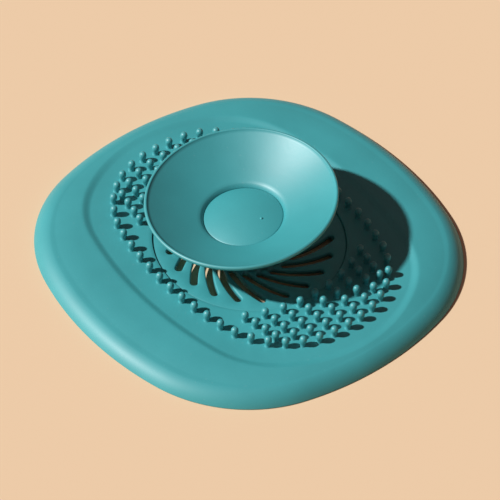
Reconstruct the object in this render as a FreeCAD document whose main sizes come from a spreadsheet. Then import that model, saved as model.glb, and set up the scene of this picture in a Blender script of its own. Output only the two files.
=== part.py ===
"""Sink strainer: a soft drain mat with hair pegs, a slotted strainer plate and a press-down stopper cup.

Millimetres. The origin is the centre of the underside, +Z is up and +X runs along the oval recess.
"""

import FreeCAD, Part
import math
import os

import Sketcher

# Driving dimensions, in millimetres and degrees
SIZES = {
    # Mat outline: four flat side arcs joined by four corner arcs, as shares of the half width
    "mat_half_width": 76.5,
    "mat_side_radius_share": 1.643,
    "mat_corner_radius_share": 0.728,
    # Pillow rim: a low upright foot, an edge arc that rises from it at an angle and a wide crown arc above
    "rim_foot_height": 0.2,
    "rim_edge_radius": 9.3,
    "rim_edge_angle": 62.0,
    "rim_crown_rise": 0.8661,
    "rim_round_width": 17.0,
    # Oval recess in the top of the mat, as shares of the mat's half width
    "recess_length_share": 0.8902,
    "recess_width_share": 0.6902,
    "recess_end_radius_share": 0.7765,
    "recess_side_radius_share": 1.9216,
    "recess_corner_radius_share": 0.4696,
    "recess_depth": 0.9,
    "recess_slope_width": 3.6,
    # Hollow underside inside the sealing land
    "land_width": 9.0,
    "floor_thickness": 2.2,
    # Hair pegs: an oval loop and two end fields, their spread as shares of the mat's half width
    "peg_base_diameter": 2.2,
    "peg_head_diameter": 2.9,
    "peg_tip_diameter": 1.5,
    "peg_height": 4.7,
    "peg_dome_height": 1.6,
    "loop_length_share": 0.749,
    "loop_width_share": 0.5373,
    "loop_end_radius_share": 1.1098,
    "loop_side_radius_share": 1.7324,
    "loop_corner_radius_share": 0.4471,
    "field_row_pitch_share": 0.0922,
    "field_inner_radius_share": 0.797,
    "field_seat_margin": 1.5,
    # Strainer plate, its radius a share of the mat's half width, and its seat in the mat
    "disc_radius_share": 0.4811,
    "disc_thickness": 2.2,
    "disc_step": 0.6,
    "disc_clearance": 0.1,
    "ledge_width": 3.5,
    "ledge_thickness": 1.3,
    "ledge_collar": 4.0,
    "hub_wall": 4.0,
    "hub_rise": 1.0,
    # Swirled slots in the plate, between the hub and a plain ring at the edge, as shares of its radius
    "slot_width_share": 0.0761,
    "slot_inner_share": 0.4885,
    "slot_ring_share": 0.163,
    "slot_curve_share": 1.0868,
    "slot_swirl_angle": 31.0,
    "slot_phase_angle": 7.2,
    # Stopper cup, measured up from the plate and in from its edge before it is set off the axis and tilted
    "cup_rim_inset": 0.5,
    "cup_rim_lift": 23.14,
    "cup_lip": 1.7,
    "cup_bow": 0.6,
    "cup_wall": 1.8,
    "cup_web": 1.1,
    "cup_pad_step": 0.8,
    "cup_shift_x": -2.14,
    "cup_shift_y": -1.79,
    "cup_lean_heading": 236.1,
    "cup_lean_angle": 6.85,
    # Press pad, shank and barb
    "pad_radius": 15.0,
    "pad_gap": 0.15,
    "pad_lift": 14.64,
    "pad_dome": 2.1,
    "pad_edge": 1.3,
    "shank_radius": 5.0,
    "shank_clearance": 0.08,
    "barb_radius": 7.0,
    "barb_gap": 0.3,
    "barb_edge": 0.5,
    "barb_taper": 1.0,
    # Overrun of every cut past the face that it leaves
    "cut_overrun": 2.0,
}

# Counts
LOOP_PEGS = 50
FIELD_ROWS = 9
FIELD_COLUMNS = 4
PEG_SIDES = 8
SLOT_COUNT = 21
FULL_TURN = 360

# How close two places are to count as one
SAME_PLACE = 1e-6

SHEET = "Sizes"
UP = FreeCAD.Vector(0, 0, 1)

# Ends and centres of sketch elements, and the sketch's own origin and axes
START, END, CENTRE = 1, 2, 3
ORIGIN = (-1, START)
ACROSS, UPRIGHT = -1, -2


def make_sheet(doc):
    """Write the driving dimensions to a spreadsheet, one aliased row each."""
    sheet = doc.addObject("Spreadsheet::Sheet", SHEET)
    for row, (name, value) in enumerate(SIZES.items(), start=1):
        sheet.set(f"A{row}", name)
        sheet.set(f"B{row}", str(value))
        sheet.setAlias(f"B{row}", name)
    doc.recompute()
    return sheet


doc = FreeCAD.newDocument("sink_strainer")
sheet = make_sheet(doc)


def of(name):
    """Name one driving dimension for an expression."""
    return f"{SHEET}.{name}"


def value(expression):
    """Work out an expression of the sheet."""
    return float(sheet.evalExpression(expression))


def part_of_width(share):
    """A length that follows the mat's half width by a named share."""
    return f"({of('mat_half_width')} * {of(share)})"


def part_of_plate(share):
    """A length that follows the plate's radius by a named share."""
    return f"({DISC_RADIUS} * {of(share)})"


# Levels above the ground and radii that several pieces share, as expressions of the sheet
DISC_RADIUS = part_of_width("disc_radius_share")
EDGE_TILT = f"({of('rim_edge_angle')} * 1 deg)"
EDGE_INSET = f"({of('rim_edge_radius')} * sin({EDGE_TILT}))"
EDGE_DROP = f"({of('rim_edge_radius')} * cos({EDGE_TILT}))"
EDGE_TOP = f"({of('rim_foot_height')} + {of('rim_edge_radius')} - {EDGE_DROP})"
RIM_TOP = f"({EDGE_TOP} + {of('rim_crown_rise')})"
FLOOR_TOP = f"({RIM_TOP} - {of('recess_depth')})"
FLOOR_UNDERSIDE = f"({FLOOR_TOP} - {of('floor_thickness')})"
DISC_TOP = f"({FLOOR_TOP} - {of('disc_step')})"
LEDGE_TOP = f"({DISC_TOP} - {of('disc_thickness')})"
LEDGE_UNDERSIDE = f"({LEDGE_TOP} - {of('ledge_thickness')})"
HUB_TOP = f"({DISC_TOP} + {of('hub_rise')})"
HUB_BORE = f"({of('shank_radius')} + {of('shank_clearance')})"
HUB_SIDE = f"({HUB_BORE} + {of('hub_wall')})"
SLOT_WIDTH = part_of_plate("slot_width_share")
SLOT_INNER = part_of_plate("slot_inner_share")
SLOT_OUTER = f"({DISC_RADIUS} - {part_of_plate('slot_ring_share')})"
SLOT_CURVE = part_of_plate("slot_curve_share")
PAD_TOP = f"({DISC_TOP} + {of('pad_lift')})"
PAD_EDGE_TOP = f"({PAD_TOP} - {of('pad_dome')})"
PAD_UNDERSIDE = f"({PAD_EDGE_TOP} - {of('pad_edge')})"
PAD_WELL = f"({of('pad_radius')} + {of('pad_gap')})"
CUP_RIM = f"({DISC_TOP} + {of('cup_rim_lift')})"


# Sketch helpers

def point(x, y):
    """A point in a sketch plane."""
    return FreeCAD.Vector(x, y, 0)


def new_body(name):
    """A part body whose label names its file."""
    body = doc.addObject("PartDesign::Body", name)
    body.Label = name
    return body


def new_sketch(body, name, role, level=None):
    """A sketch on one of the body's origin planes, lifted to a level where one is given."""
    sketch = body.newObject("Sketcher::SketchObject", name)
    plane = next(item for item in body.Origin.OriginFeatures if item.Role == role)
    sketch.AttachmentSupport = [(plane, "")]
    sketch.MapMode = "FlatFace"
    if level:
        sketch.setExpression("AttachmentOffset.Base.z", level)
    return sketch


def constrain(sketch, *terms):
    """Add one constraint without a size."""
    sketch.addConstraint(Sketcher.Constraint(*terms))


def dimension(sketch, name, expression, *terms):
    """Add one named constraint whose size follows an expression of the sheet."""
    index = sketch.addConstraint(Sketcher.Constraint(*terms, value(expression)))
    sketch.renameConstraint(index, name)
    sketch.setExpression(f"Constraints.{name}", expression)


def locate(sketch, name, geometry, end, x, y):
    """Hold one end of a sketch element at a place given by two expressions."""
    if value(x) == 0:
        constrain(sketch, "PointOnObject", geometry, end, UPRIGHT)
    else:
        dimension(sketch, f"{name}_x", x, "DistanceX", *ORIGIN, geometry, end)
    dimension(sketch, f"{name}_y", y, "DistanceY", *ORIGIN, geometry, end)


def draw_circle(sketch, radius):
    """A circle about the sketch's origin, its radius an expression of the sheet."""
    circle = sketch.addGeometry(Part.Circle(point(0, 0), UP, value(radius)))
    constrain(sketch, "Coincident", circle, CENTRE, *ORIGIN)
    dimension(sketch, f"radius_{circle}", radius, "Radius", circle)


def bowed_arc(start, end, bow):
    """The arc between two points that bows to the right of the way from start to end."""
    chord = end - start
    side = FreeCAD.Vector(chord.y, -chord.x, 0).normalize()
    return Part.Arc(start, (start + end) / 2 + side * bow, end)


def draw_profile(sketch, corners, bows=None):
    """A closed outline whose corners follow expressions of the sheet.

    bows gives, by the number of the corner where a side starts, the size by which that side bows out.
    """
    bows = bows or {}
    places = [point(value(x), value(y)) for x, y in corners]
    count = len(corners)
    for index, start in enumerate(places):
        end = places[(index + 1) % count]
        if index in bows:
            side = bowed_arc(start, end, value(bows[index]))
        else:
            side = Part.LineSegment(start, end)
        sketch.addGeometry(side)
    for index, (x, y) in enumerate(corners):
        first = ends_of(sketch, index, places[index])
        previous = (index - 1) % count
        constrain(sketch, "Coincident", previous, ends_of(sketch, previous, places[index]), index, first)
        locate(sketch, f"corner_{index}", index, first, x, y)
    for index, bow in bows.items():
        (x0, y0), (x1, y1) = corners[index], corners[(index + 1) % count]
        half = f"((({x1}) - ({x0}))^2 + (({y1}) - ({y0}))^2) / 4"
        dimension(sketch, f"bow_{index}", f"({half} + ({bow})^2) / (2 * abs({bow}))", "Radius", index)


def ends_of(sketch, index, place):
    """Tell which end of a sketch element lies at a place."""
    if sketch.getPoint(index, START).isEqual(place, SAME_PLACE):
        return START
    return END


# Eight-arc ovals

def oval_arcs(half_x, half_y, end_radius, side_radius, corner_radius):
    """An oval's arcs, counter-clockwise from the +X axis: (centre, radius, start angle, end angle)."""
    end_centre = half_x - end_radius
    side_centre = half_y - side_radius
    end_reach = end_radius - corner_radius
    side_reach = side_radius - corner_radius
    span = math.hypot(end_centre, side_centre)
    along = (end_reach ** 2 - side_reach ** 2 + span ** 2) / (2 * span)
    across = math.sqrt(end_reach ** 2 - along ** 2)
    x = end_centre + (across * -side_centre - along * end_centre) / span
    y = (along * side_centre - across * end_centre) / span
    end_angle = math.atan2(y, x - end_centre)
    side_angle = math.atan2(y - side_centre, x)
    half_turn = math.pi
    return [
        ((end_centre, 0), end_radius, 0, end_angle),
        ((x, y), corner_radius, end_angle, side_angle),
        ((0, side_centre), side_radius, side_angle, half_turn - side_angle),
        ((-x, y), corner_radius, half_turn - side_angle, half_turn - end_angle),
        ((-end_centre, 0), end_radius, half_turn - end_angle, half_turn + end_angle),
        ((-x, -y), corner_radius, half_turn + end_angle, half_turn + side_angle),
        ((0, -side_centre), side_radius, half_turn + side_angle, 2 * half_turn - side_angle),
        ((x, -y), corner_radius, 2 * half_turn - side_angle, 2 * half_turn - end_angle),
        ((end_centre, 0), end_radius, 2 * half_turn - end_angle, 2 * half_turn),
    ]


def oval_curves(sizes):
    """The curves of an oval whose half sizes and radii are expressions of the sheet."""
    curves = []
    for (x, y), radius, start, end in oval_arcs(*(value(item) for item in sizes)):
        curves.append(Part.ArcOfCircle(Part.Circle(point(x, y), UP, radius), start, end))
    return curves


def draw_oval(sketch, sizes):
    """Draw an oval: two end arcs on X, two side arcs on Y and four corner arcs that touch them."""
    half_x, half_y, end_radius, side_radius, corner_radius = sizes
    for curve in oval_curves(sizes):
        sketch.addGeometry(curve)
    last = sketch.GeometryCount - 1
    for index in range(last):
        constrain(sketch, "Tangent", index, END, index + 1, START)
    constrain(sketch, "Coincident", last, END, 0, START)
    constrain(sketch, "Coincident", last, CENTRE, 0, CENTRE)
    constrain(sketch, "PointOnObject", 0, START, ACROSS)
    constrain(sketch, "PointOnObject", 0, CENTRE, ACROSS)
    constrain(sketch, "PointOnObject", 2, CENTRE, UPRIGHT)
    constrain(sketch, "Symmetric", 0, CENTRE, 4, CENTRE, *ORIGIN)
    constrain(sketch, "Symmetric", 2, CENTRE, 6, CENTRE, *ORIGIN)
    for like, index in ((0, 4), (2, 6), (1, 3), (1, 5), (1, 7)):
        constrain(sketch, "Equal", like, index)
    dimension(sketch, "end_radius", end_radius, "Radius", 0)
    dimension(sketch, "side_radius", side_radius, "Radius", 2)
    dimension(sketch, "corner_radius", corner_radius, "Radius", 1)
    dimension(sketch, "half_length", half_x, "DistanceX", *ORIGIN, 0, START)
    dimension(sketch, "side_centre", f"{side_radius} - {half_y}", "DistanceY", 2, CENTRE, *ORIGIN)


def mat_oval(inset="0"):
    """Sizes of the mat's outline, drawn in by an inset."""
    half = f"({of('mat_half_width')} - {inset})"
    side = f"({part_of_width('mat_side_radius_share')} - {inset})"
    return half, half, side, side, f"({part_of_width('mat_corner_radius_share')} - {inset})"


def shared_oval(name):
    """Sizes of the recess's outline or of the peg loop, which follow the mat's half width."""
    forms = ("length", "width", "end_radius", "side_radius", "corner_radius")
    return tuple(part_of_width(f"{name}_{form}_share") for form in forms)


# Feature helpers

def pad(body, name, sketch, length):
    """Raise a sketch upwards by a length."""
    feature = body.newObject("PartDesign::Pad", name)
    feature.Profile = sketch
    feature.setExpression("Length", length)
    return feature


def pocket(body, name, sketch, length, upwards=False):
    """Sink a sketch downwards, or upwards, by a length, and make sure that it cuts."""
    before = body.Shape.Volume
    feature = body.newObject("PartDesign::Pocket", name)
    feature.Profile = sketch
    feature.Reversed = upwards
    feature.setExpression("Length", length)
    doc.recompute()
    if body.Shape.Volume >= before:
        raise RuntimeError(f"{name} cuts nothing")
    return feature


def revolve(body, name, sketch):
    """Turn a profile once about the upright axis."""
    feature = body.newObject("PartDesign::Revolution", name)
    feature.Profile = sketch
    feature.ReferenceAxis = (sketch, ["V_Axis"])
    feature.Angle = FULL_TURN
    return feature


# Mat

def draw_pillow_cut(sketch):
    """The corner that the pillow rim leaves out of a square slab's edge."""
    edge = of("mat_half_width")
    foot = of("rim_foot_height")
    crown = f"({edge} - {of('rim_round_width')})"
    outside = f"({edge} + {of('cut_overrun')})"
    above = f"({RIM_TOP} + {of('cut_overrun')})"
    radius = value(of("rim_edge_radius"))
    rise = value(f"{of('rim_edge_radius')} + {of('rim_crown_rise')}")
    reach = value(f"{of('rim_round_width')} - {EDGE_INSET}")
    crown_radius = (reach ** 2 + rise ** 2 - radius ** 2) / (2 * (rise - radius))
    turn = math.atan2(crown_radius - rise, reach)
    start = math.radians(90 - value(of("rim_edge_angle")))
    edge_centre = point(value(f"{edge} - {EDGE_INSET}"), value(f"{foot} - {EDGE_DROP}"))
    crown_centre = point(value(crown), value(RIM_TOP) - crown_radius)
    sketch.addGeometry(Part.ArcOfCircle(Part.Circle(edge_centre, UP, radius), start, turn))
    sketch.addGeometry(Part.ArcOfCircle(Part.Circle(crown_centre, UP, crown_radius), turn, math.pi / 2))
    corners = [(crown, RIM_TOP), (crown, above), (outside, above), (outside, foot), (edge, foot)]
    places = [point(value(x), value(y)) for x, y in corners]
    for start, end in zip(places, places[1:]):
        sketch.addGeometry(Part.LineSegment(start, end))
    constrain(sketch, "Tangent", 0, END, 1, START)
    for index in range(1, 5):
        constrain(sketch, "Coincident", index, END, index + 1, START)
    constrain(sketch, "Coincident", 5, END, 0, START)
    constrain(sketch, "Vertical", 1, CENTRE, 1, END)
    for index, direction in ((2, "Vertical"), (3, "Horizontal"), (4, "Vertical"), (5, "Horizontal")):
        constrain(sketch, direction, index)
    dimension(sketch, "edge_radius", of("rim_edge_radius"), "Radius", 0)
    dimension(sketch, "edge_drop", EDGE_DROP, "DistanceY", 0, CENTRE, 0, START)
    locate(sketch, "foot", 0, START, edge, foot)
    locate(sketch, "crest", 1, END, crown, RIM_TOP)
    locate(sketch, "outer", 3, END, outside, above)


def make_base_mat():
    """The mat: a pillow-edged slab with an oval recess, a hollow underside and a ledge for the plate."""
    body = new_body("base_mat")
    outline = new_sketch(body, "MatOutline", "XY_Plane")
    draw_oval(outline, mat_oval())
    pad(body, "MatSlab", outline, RIM_TOP)
    profile = new_sketch(body, "PillowProfile", "XZ_Plane")
    draw_pillow_cut(profile)
    doc.recompute()
    edge = body.newObject("PartDesign::SubtractivePipe", "PillowRim")
    edge.Profile = profile
    edge.Spine = (outline, [f"Edge{number}" for number in range(1, outline.GeometryCount + 1)])
    doc.recompute()

    recess = new_sketch(body, "RecessOutline", "XY_Plane", RIM_TOP)
    draw_oval(recess, shared_oval("recess"))
    sunk = pocket(body, "Recess", recess, of("recess_depth"))
    sunk.setExpression("TaperAngle", f"-atan({of('recess_slope_width')} / {of('recess_depth')})")

    hollow = new_sketch(body, "HollowOutline", "XY_Plane")
    draw_oval(hollow, mat_oval(of("land_width")))
    pocket(body, "Hollow", hollow, FLOOR_UNDERSIDE, upwards=True)

    collar = new_sketch(body, "LedgeCollarOutline", "XY_Plane", LEDGE_UNDERSIDE)
    draw_circle(collar, f"{DISC_RADIUS} + {of('ledge_collar')}")
    pad(body, "LedgeCollar", collar, f"{FLOOR_UNDERSIDE} - {LEDGE_UNDERSIDE}")
    doc.recompute()

    seat = new_sketch(body, "SeatOutline", "XY_Plane", FLOOR_TOP)
    draw_circle(seat, f"{DISC_RADIUS} + {of('disc_clearance')}")
    pocket(body, "Seat", seat, f"{FLOOR_TOP} - {LEDGE_TOP}")
    drain = new_sketch(body, "DrainOutline", "XY_Plane", LEDGE_TOP)
    draw_circle(drain, f"{DISC_RADIUS} - {of('ledge_width')}")
    pocket(body, "Drain", drain, f"{of('ledge_thickness')} + {of('cut_overrun')}")
    return body


# Hair pegs

def make_peg():
    """One peg: an eight-sided stalk that widens to a domed head, standing at the origin."""
    base = value(of("peg_base_diameter")) / 2
    head = value(of("peg_head_diameter")) / 2
    tip = value(of("peg_tip_diameter")) / 2
    height = value(of("peg_height"))
    shoulder = height - value(of("peg_dome_height"))
    turns = [2 * math.pi * (index + 0.5) / PEG_SIDES for index in range(PEG_SIDES)]
    rings = []
    for radius, level in ((base, 0), (head, shoulder), (tip, height)):
        rings.append([FreeCAD.Vector(radius * math.cos(turn), radius * math.sin(turn), level) for turn in turns])
    loops = [rings[0][::-1], rings[-1]]
    for lower, upper in zip(rings, rings[1:]):
        for index in range(PEG_SIDES):
            after = (index + 1) % PEG_SIDES
            loops.append([lower[index], lower[after], upper[after], upper[index]])
    faces = [Part.Face(Part.makePolygon(loop + loop[:1])) for loop in loops]
    shell = Part.makeShell(faces)
    shell.sewShape()
    return Part.makeSolid(shell)


def loop_places():
    """Places of the pegs along the oval loop, evenly spaced from the +X axis."""
    loop = Part.Wire([curve.toShape() for curve in oval_curves(shared_oval("loop"))])
    return loop.discretize(Number=LOOP_PEGS + 1)[:LOOP_PEGS]


def field_places(side):
    """Places of one end field: rows that run inwards from the loop's own pegs to the plate's seat."""
    loop = loop_places()
    half_rows = FIELD_ROWS // 2
    start = 0 if side > 0 else LOOP_PEGS // 2
    radius = value(part_of_width("field_inner_radius_share"))
    centre = value(f"{DISC_RADIUS} + {of('field_seat_margin')}") - radius
    pitch = value(part_of_width("field_row_pitch_share"))
    places = []
    for row in range(-half_rows, half_rows + 1):
        outer = loop[(start + side * row) % LOOP_PEGS]
        y = row * pitch
        inner = point(side * (centre + math.sqrt(radius ** 2 - y ** 2)), y)
        for column in range(1, FIELD_COLUMNS + 1):
            places.append(outer + (inner - outer) * (column / FIELD_COLUMNS))
    return places


def make_pegs(name, places):
    """A group of pegs standing on the floor of the recess."""
    peg = make_peg()
    group = doc.addObject("Part::Feature", name)
    group.Label = name
    group.Shape = Part.makeCompound([peg.translated(place) for place in places])
    group.Placement = FreeCAD.Placement(FreeCAD.Vector(0, 0, value(FLOOR_TOP)), FreeCAD.Rotation())
    return group


# Strainer plate

def draw_slot(sketch):
    """One swirled slot: two arcs about one centre and two round ends on the inner and outer circles."""
    inner = value(SLOT_INNER)
    outer = value(SLOT_OUTER)
    swirl = math.radians(value(of("slot_swirl_angle")))
    curve = value(SLOT_CURVE)
    half = value(SLOT_WIDTH) / 2
    first = point(inner, 0)
    last = point(outer * math.cos(swirl), outer * math.sin(swirl))
    chord = last - first
    left = FreeCAD.Vector(-chord.y, chord.x, 0).normalize()
    centre = (first + last) / 2 + left * math.sqrt(curve ** 2 - (chord.Length / 2) ** 2)
    start = math.atan2(first.y - centre.y, first.x - centre.x)
    end = math.atan2(last.y - centre.y, last.x - centre.x)
    half_turn = math.pi
    for middle, radius, begin, finish in (
        (centre, curve + half, start, end),
        (last, half, end, end + half_turn),
        (centre, curve - half, start, end),
        (first, half, start + half_turn, start + 2 * half_turn),
    ):
        sketch.addGeometry(Part.ArcOfCircle(Part.Circle(middle, UP, radius), begin, finish))
    inner_circle = sketch.addGeometry(Part.Circle(point(0, 0), UP, inner), True)
    outer_circle = sketch.addGeometry(Part.Circle(point(0, 0), UP, outer), True)
    swirl_line = sketch.addGeometry(Part.LineSegment(point(0, 0), last), True)
    constrain(sketch, "Tangent", 0, END, 1, START)
    constrain(sketch, "Tangent", 1, END, 2, END)
    constrain(sketch, "Tangent", 2, START, 3, START)
    constrain(sketch, "Tangent", 3, END, 0, START)
    constrain(sketch, "Coincident", 0, CENTRE, 2, CENTRE)
    constrain(sketch, "Coincident", inner_circle, CENTRE, *ORIGIN)
    constrain(sketch, "Coincident", outer_circle, CENTRE, *ORIGIN)
    constrain(sketch, "Coincident", swirl_line, START, *ORIGIN)
    constrain(sketch, "Coincident", swirl_line, END, 1, CENTRE)
    constrain(sketch, "PointOnObject", 1, CENTRE, outer_circle)
    constrain(sketch, "PointOnObject", 3, CENTRE, inner_circle)
    constrain(sketch, "PointOnObject", 3, CENTRE, ACROSS)
    dimension(sketch, "inner_radius", SLOT_INNER, "Radius", inner_circle)
    dimension(sketch, "outer_radius", SLOT_OUTER, "Radius", outer_circle)
    dimension(sketch, "end_radius", f"{SLOT_WIDTH} / 2", "Radius", 1)
    dimension(sketch, "curve_radius", f"{SLOT_CURVE} + {SLOT_WIDTH} / 2", "Radius", 0)
    swirl_turn = sketch.addConstraint(Sketcher.Constraint("Angle", ACROSS, START, swirl_line, START, swirl))
    sketch.renameConstraint(swirl_turn, "swirl")
    sketch.setExpression("Constraints.swirl", f"{of('slot_swirl_angle')} * 1 deg")


def make_strainer_disc():
    """The slotted plate with the hub sleeve that guides the stopper."""
    body = new_body("strainer_disc")
    profile = new_sketch(body, "DiscProfile", "XZ_Plane")
    draw_profile(profile, [
        (HUB_BORE, LEDGE_TOP),
        (DISC_RADIUS, LEDGE_TOP),
        (DISC_RADIUS, DISC_TOP),
        (HUB_SIDE, DISC_TOP),
        (HUB_SIDE, HUB_TOP),
        (HUB_BORE, HUB_TOP),
    ])
    revolve(body, "Disc", profile)
    doc.recompute()
    slot = new_sketch(body, "SlotOutline", "XY_Plane", DISC_TOP)
    slot.setExpression("AttachmentOffset.Rotation.Angle", f"{of('slot_phase_angle')} * 1 deg")
    draw_slot(slot)
    cut = pocket(body, "Slot", slot, f"{of('disc_thickness')} + {of('cut_overrun')}")
    swirl = body.newObject("PartDesign::PolarPattern", "SlotSwirl")
    swirl.Originals = [cut]
    swirl.Axis = (slot, ["N_Axis"])
    swirl.Angle = FULL_TURN
    swirl.Occurrences = SLOT_COUNT
    body.Tip = swirl
    return body


# Stopper

def cup_place():
    """Where the soft cup and its pad stand: set off the shank's axis and tilted about the pad's underside."""
    heading = math.radians(value(of("cup_lean_heading")))
    hinge = FreeCAD.Vector(-math.sin(heading), math.cos(heading), 0)
    tilt = FreeCAD.Rotation(hinge, value(of("cup_lean_angle")))
    shift = FreeCAD.Vector(value(of("cup_shift_x")), value(of("cup_shift_y")), 0)
    return FreeCAD.Placement(shift, tilt, FreeCAD.Vector(0, 0, value(PAD_UNDERSIDE)))


def make_stopper_cup():
    """The flexible cup: a well for the press pad and a thin skirt that bows up to the rim."""
    body = new_body("cup_shell")
    underside = f"({PAD_UNDERSIDE} - {of('cup_web')})"
    well_outside = f"({PAD_WELL} + {of('cup_wall')})"
    well_top = f"({PAD_EDGE_TOP} + {of('cup_pad_step')})"
    root = f"({well_top} - {of('cup_wall')} / 2)"
    rim = f"({DISC_RADIUS} - {of('cup_rim_inset')})"
    profile = new_sketch(body, "CupProfile", "XZ_Plane")
    draw_profile(profile, [
        ("0", underside),
        (well_outside, underside),
        (well_outside, root),
        (rim, f"{CUP_RIM} - {of('cup_lip')}"),
        (rim, CUP_RIM),
        (PAD_WELL, well_top),
        (PAD_WELL, PAD_UNDERSIDE),
        ("0", PAD_UNDERSIDE),
    ], bows={2: of("cup_bow"), 4: f"-{of('cup_bow')}"})
    revolve(body, "Cup", profile)
    body.Placement = cup_place()
    bore = doc.addObject("Part::Cylinder", "ShankBore")
    bore.setExpression("Radius", HUB_BORE)
    bore.setExpression("Height", PAD_TOP)
    cup = doc.addObject("Part::Cut", "stopper_cup")
    cup.Label = "stopper_cup"
    cup.Base = body
    cup.Tool = bore
    return cup


def make_press_stem():
    """The domed press pad, which tilts with the cup, on an upright shank with the barb that holds the hub."""
    shank = new_body("barbed_shank")
    barb_top = f"({LEDGE_TOP} - {of('barb_gap')})"
    barb_side = f"({barb_top} - {of('barb_edge')})"
    barb_bottom = f"({barb_side} - {of('barb_taper')})"
    reach = f"({of('pad_radius')}^2 + {of('pad_dome')}^2)"
    dome = f"({reach} / (2 * {of('pad_dome')}))"
    profile = new_sketch(shank, "ShankProfile", "XZ_Plane")
    draw_profile(profile, [
        ("0", barb_bottom),
        (of("shank_radius"), barb_bottom),
        (of("barb_radius"), barb_side),
        (of("barb_radius"), barb_top),
        (of("shank_radius"), barb_top),
        (of("shank_radius"), PAD_EDGE_TOP),
        ("0", PAD_EDGE_TOP),
    ])
    revolve(shank, "Shank", profile)
    button = new_body("press_pad")
    section = new_sketch(button, "PadProfile", "XZ_Plane")
    draw_profile(section, [
        ("0", PAD_UNDERSIDE),
        (of("pad_radius"), PAD_UNDERSIDE),
        (of("pad_radius"), PAD_EDGE_TOP),
        ("0", PAD_TOP),
    ], bows={2: f"({dome} - sqrt({dome}^2 - {reach} / 4))"})
    revolve(button, "Pad", section)
    button.Placement = cup_place()
    stem = doc.addObject("Part::MultiFuse", "press_stem")
    stem.Label = "press_stem"
    stem.Shapes = [shank, button]
    stem.Refine = True
    return stem


def check_document(parts):
    """Stop if any object failed or any sub-part has no sound solid."""
    for item in doc.Objects:
        if "Invalid" in item.State or "Error" in item.State:
            raise RuntimeError(f"{item.Name} failed: {item.State}")
    for part in parts:
        if part.Shape.isNull() or not part.Shape.isValid() or not part.Shape.Solids:
            raise RuntimeError(f"{part.Label} has no sound solid")


def main():
    """Build every sub-part and write its file."""
    parts = [
        make_base_mat(),
        make_pegs("peg_loop", loop_places()),
        make_pegs("left_peg_field", field_places(-1)),
        make_pegs("right_peg_field", field_places(1)),
        make_strainer_disc(),
        make_stopper_cup(),
        make_press_stem(),
    ]
    doc.recompute()
    check_document(parts)
    os.makedirs("parts", exist_ok=True)
    for part in parts:
        part.Shape.exportStep(f"parts/{part.Label}.step")
        print(f"{part.Label}: {len(part.Shape.Solids)} solids, {part.Shape.Volume:.1f} mm3")


main()
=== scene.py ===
"""Dressed scene of a sink strainer.

A soft drain mat carries hair pegs and a plate with swirled slots. Over the plate stands a flexible cup,
which is pressed down by the round pad in its middle. Sizes are written in millimetres, and meshes are in
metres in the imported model's own frame: +Z is up and +X runs along the oval recess.
"""

import logging
import math
import random
from dataclasses import dataclass
from enum import Enum
from typing import Callable, NamedTuple, Optional, Sequence, Union

import bmesh
import bpy
from mathutils import Matrix, Vector


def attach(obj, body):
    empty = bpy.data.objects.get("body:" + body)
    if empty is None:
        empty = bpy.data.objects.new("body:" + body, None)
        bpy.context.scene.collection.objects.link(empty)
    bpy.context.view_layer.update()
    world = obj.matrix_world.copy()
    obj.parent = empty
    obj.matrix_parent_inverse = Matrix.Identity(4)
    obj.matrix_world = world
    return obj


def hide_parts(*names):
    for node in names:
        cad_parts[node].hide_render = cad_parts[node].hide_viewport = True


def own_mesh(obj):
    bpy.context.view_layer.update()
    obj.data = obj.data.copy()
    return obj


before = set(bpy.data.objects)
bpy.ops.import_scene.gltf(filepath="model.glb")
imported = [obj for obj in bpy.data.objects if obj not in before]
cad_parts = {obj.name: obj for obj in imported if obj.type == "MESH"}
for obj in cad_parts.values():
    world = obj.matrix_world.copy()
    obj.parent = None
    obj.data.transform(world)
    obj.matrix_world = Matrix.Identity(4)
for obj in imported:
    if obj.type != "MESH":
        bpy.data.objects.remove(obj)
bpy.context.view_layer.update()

LOG = logging.getLogger("sink_strainer")
MM = 0.001
TURN = 2 * math.pi
QUARTER = math.pi / 2
SAME_HEADING = 1e-6
SAME_PLACE = 1e-7
SAME_LEVEL = 1e-6
IMAGE_WIDTH = 500

Colour = tuple[float, float, float]
Corner = tuple[float, float]
Section = Callable[[float], Vector]


class Body(Enum):
    """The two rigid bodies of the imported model."""

    MAT = "mat"
    STOPPER = "stopper"


class Slot(Enum):
    """The record's material slots."""

    MAT = "mat_rubber"
    PEG = "peg_rubber"
    PLATE = "plate_rubber"
    CUP = "cup_rubber"


# Outlines

class Arc(NamedTuple):
    """One arc of an oval's first quadrant."""

    x: float
    y: float
    radius: float
    start: float
    end: float


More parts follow.
